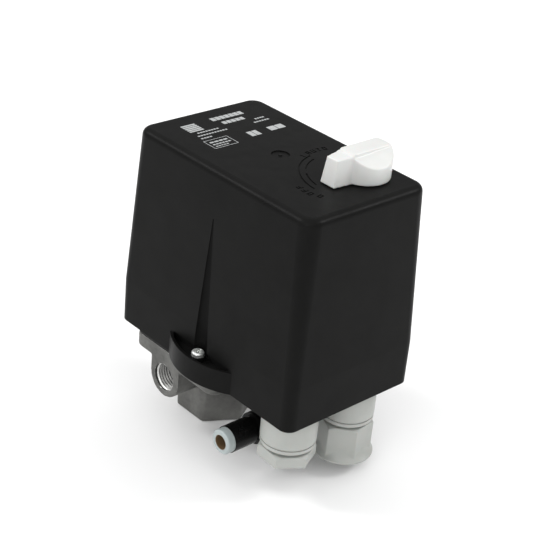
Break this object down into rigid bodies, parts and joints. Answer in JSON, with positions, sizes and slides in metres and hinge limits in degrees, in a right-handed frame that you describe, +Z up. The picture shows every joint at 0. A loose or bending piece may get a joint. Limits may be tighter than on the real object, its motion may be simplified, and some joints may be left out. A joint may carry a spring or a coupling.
{
  "type": "pressure switch",
  "caption": "Compressor pressure switch: tapered black hood with white rotary knob, cast pressure flange, relief valve with push-in port and grey cable glands.",
  "frame": {"origin": "centre of the bottom pressure port's mouth", "axes": "+Z up along the pressure port, +X along the long side towards the cable glands, -Y the side the relief valve tube port faces"},
  "size_m": [0.1112, 0.0844, 0.1491],
  "materials": {
    "cover_black": "fine-grained satin thermoplastic",
    "knob_white": "satin white thermoplastic",
    "base_black": "matt glass-filled thermoplastic",
    "cast_aluminium": "bead-blasted die casting",
    "zinc_steel": "bright zinc plated",
    "plain_steel": "drawn and passivated",
    "spring_steel": "oiled spring wire",
    "gland_grey": "smooth light-grey polyamide",
    "valve_black": "glass-filled polyamide, slightly glossy",
    "collar_grey": "pale grey acetal",
    "rubber_black": "nitrile rubber",
    "brass": "turned brass",
    "copper": "rolled copper with silver tips",
    "moulded_grey": "moulded thermoset",
    "moulded_cream": "moulded carrier plastic"
  },
  "bodies": {
    "housing": {"cover": "cover_black", "cover_screws": "zinc_steel", "shaft_bush": "brass", "pressure_flange": "cast_aluminium", "diaphragm": "rubber_black", "flange_screws": "zinc_steel", "base_plate": "base_black", "front_gland_nut": "gland_grey", "rear_gland_nut": "gland_grey", "front_gland_body": "gland_grey", "front_gland_locknut": "gland_grey", "front_gland_seal": "rubber_black", "front_gland_slip_ring": "moulded_cream", "rear_gland_body": "gland_grey", "rear_gland_locknut": "gland_grey", "rear_gland_seal": "rubber_black", "rear_gland_slip_ring": "moulded_cream", "valve_body": "valve_black", "valve_guide": "brass", "valve_seat": "rubber_black", "valve_spring": "spring_steel", "grab_ring": "spring_steel", "tube_seal": "rubber_black", "difference_spring": "spring_steel", "spring_bracket": "plain_steel", "bracket_screws": "zinc_steel", "lever_pin": "plain_steel", "contact_housing": "moulded_grey", "fixed_contacts": "copper", "terminal_screws": "zinc_steel", "terminal_clamps": "plain_steel", "relay_housing": "moulded_grey", "bimetal_strips": "brass", "heater_windings": "copper", "earth_plate": "brass", "earth_screws": "zinc_steel"},
    "selector": {"rotary_knob": "knob_white", "knob_shaft": "moulded_cream"},
    "switching_slide": {"switching_slide": "moulded_cream"},
    "contact_carrier": {"contact_carrier": "moulded_cream", "moving_contacts": "copper", "contact_springs": "spring_steel"},
    "plunger": {"plunger": "cast_aluminium", "lower_spring_seat": "zinc_steel", "main_spring": "spring_steel"},
    "rocker": {"rocker": "plain_steel"},
    "range_screw": {"range_screw": "zinc_steel"},
    "range_nut": {"range_nut": "plain_steel"},
    "difference_screw": {"difference_screw": "zinc_steel"},
    "difference_nut": {"difference_nut": "plain_steel"},
    "valve_stem": {"valve_stem": "brass"},
    "tube_collar": {"tube_collar": "collar_grey"},
    "trip_slide": {"trip_slide": "moulded_cream"},
    "current_dial": {"current_dial": "moulded_cream"}
  },
  "joints": [
    {"name": "knob_turn", "type": "hinge", "parent": "housing", "child": "selector", "pos_m": [0.0595, 0.0151, 0.12], "axis": [0, 0, 1], "range_deg": [-90, 0]},
    {"name": "switching_slide_lift", "type": "slide", "parent": "housing", "child": "switching_slide", "axis": [0, 0, 1], "range_m": [-0.00245, 0]},
    {"name": "plunger_lift", "type": "slide", "parent": "housing", "child": "plunger", "axis": [0, 0, 1], "range_m": [0, 0.0008], "stiffness_N_per_m": 20000, "springref_m": -0.006},
    {"name": "rocker_tilt", "type": "hinge", "parent": "housing", "child": "rocker", "pos_m": [-0.019, 0, 0.0517], "axis": [0, -1, 0], "range_deg": [0, 2.45]},
    {"name": "contact_carrier_lift", "type": "slide", "parent": "switching_slide", "child": "contact_carrier", "axis": [0, 0, 1], "range_m": [0, 0.0029]},
    {"name": "valve_stem_lift", "type": "slide", "parent": "housing", "child": "valve_stem", "axis": [0, 0, 1], "range_m": [0, 0.00272], "deforming": ["valve_spring"]},
    {"name": "range_screw_turn", "type": "hinge", "parent": "housing", "child": "range_screw", "pos_m": [0, 0, 0.108], "axis": [0, 0, 1], "range_deg": [0, 1080]},
    {"name": "range_nut_travel", "type": "slide", "parent": "housing", "child": "range_nut", "axis": [0, 0, 1], "range_m": [-0.006, 0], "deforming": ["main_spring"]},
    {"name": "difference_screw_turn", "type": "hinge", "parent": "housing", "child": "difference_screw", "pos_m": [0.021, 0, 0.108], "axis": [0, 0, 1], "range_deg": [0, 1440]},
    {"name": "difference_nut_travel", "type": "slide", "parent": "housing", "child": "difference_nut", "axis": [0, 0, 1], "range_m": [-0.004, 0], "deforming": ["difference_spring"]},
    {"name": "tube_collar_press", "type": "slide", "parent": "housing", "child": "tube_collar", "axis": [0, 1, 0], "range_m": [0, 0.001], "stiffness_N_per_m": 1500, "springref_m": -0.0005},
    {"name": "trip_slide_travel", "type": "slide", "parent": "housing", "child": "trip_slide", "axis": [1, 0, 0], "range_m": [0, 0.0015], "stiffness_N_per_m": 300, "springref_m": -0.0005},
    {"name": "current_dial_turn", "type": "hinge", "parent": "housing", "child": "current_dial", "pos_m": [0.04, -0.02, 0.114], "axis": [0, 0, 1], "range_deg": [-135, 135]}
  ],
  "couplings": [
    {"joint": "switching_slide_lift", "follows": "knob_turn", "m_per_rad": 0.0015597},
    {"joint": "rocker_tilt", "follows": "plunger_lift", "rad_per_m": 52.632},
    {"joint": "contact_carrier_lift", "follows": "plunger_lift", "ratio": 3.63},
    {"joint": "valve_stem_lift", "follows": "plunger_lift", "ratio": 3.4},
    {"joint": "range_screw_turn", "follows": "range_nut_travel", "rad_per_m": -3141.6},
    {"joint": "difference_screw_turn", "follows": "difference_nut_travel", "rad_per_m": -6283.1}
  ]
}
